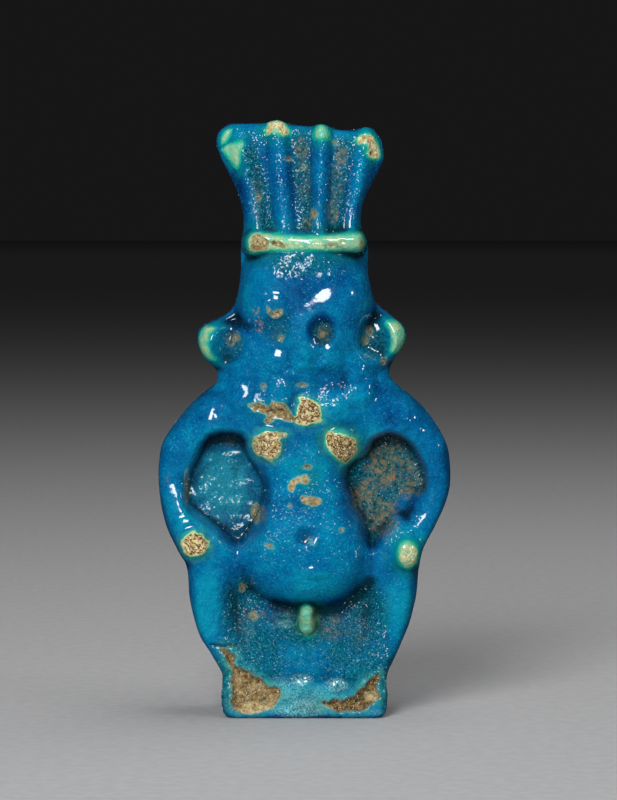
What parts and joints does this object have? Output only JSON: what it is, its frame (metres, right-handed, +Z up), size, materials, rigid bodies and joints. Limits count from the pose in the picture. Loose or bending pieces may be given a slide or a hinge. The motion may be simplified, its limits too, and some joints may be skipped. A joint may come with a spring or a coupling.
{
  "type": "bes figure",
  "caption": "Small standing Bes figure with a feather crown, arms akimbo and bowed legs on a low base, moulded in turquoise glazed faience with worn, chipped spots.",
  "frame": {"origin": "on the underside of the base, below the middle of the figure's bounding box", "axes": "+Z up from the base to the crown, +X to the right in a front view, -Y out of the front of the figure"},
  "size_m": [0.0296, 0.012, 0.06],
  "materials": {
    "turquoise_glaze": "glossy alkaline copper glaze, turquoise to deep blue, with mint green spots on the raised details and rough buff body where it is worn or chipped"
  },
  "bodies": {
    "root": {"bes_figure": "turquoise_glaze"}
  },
  "joints": []
}
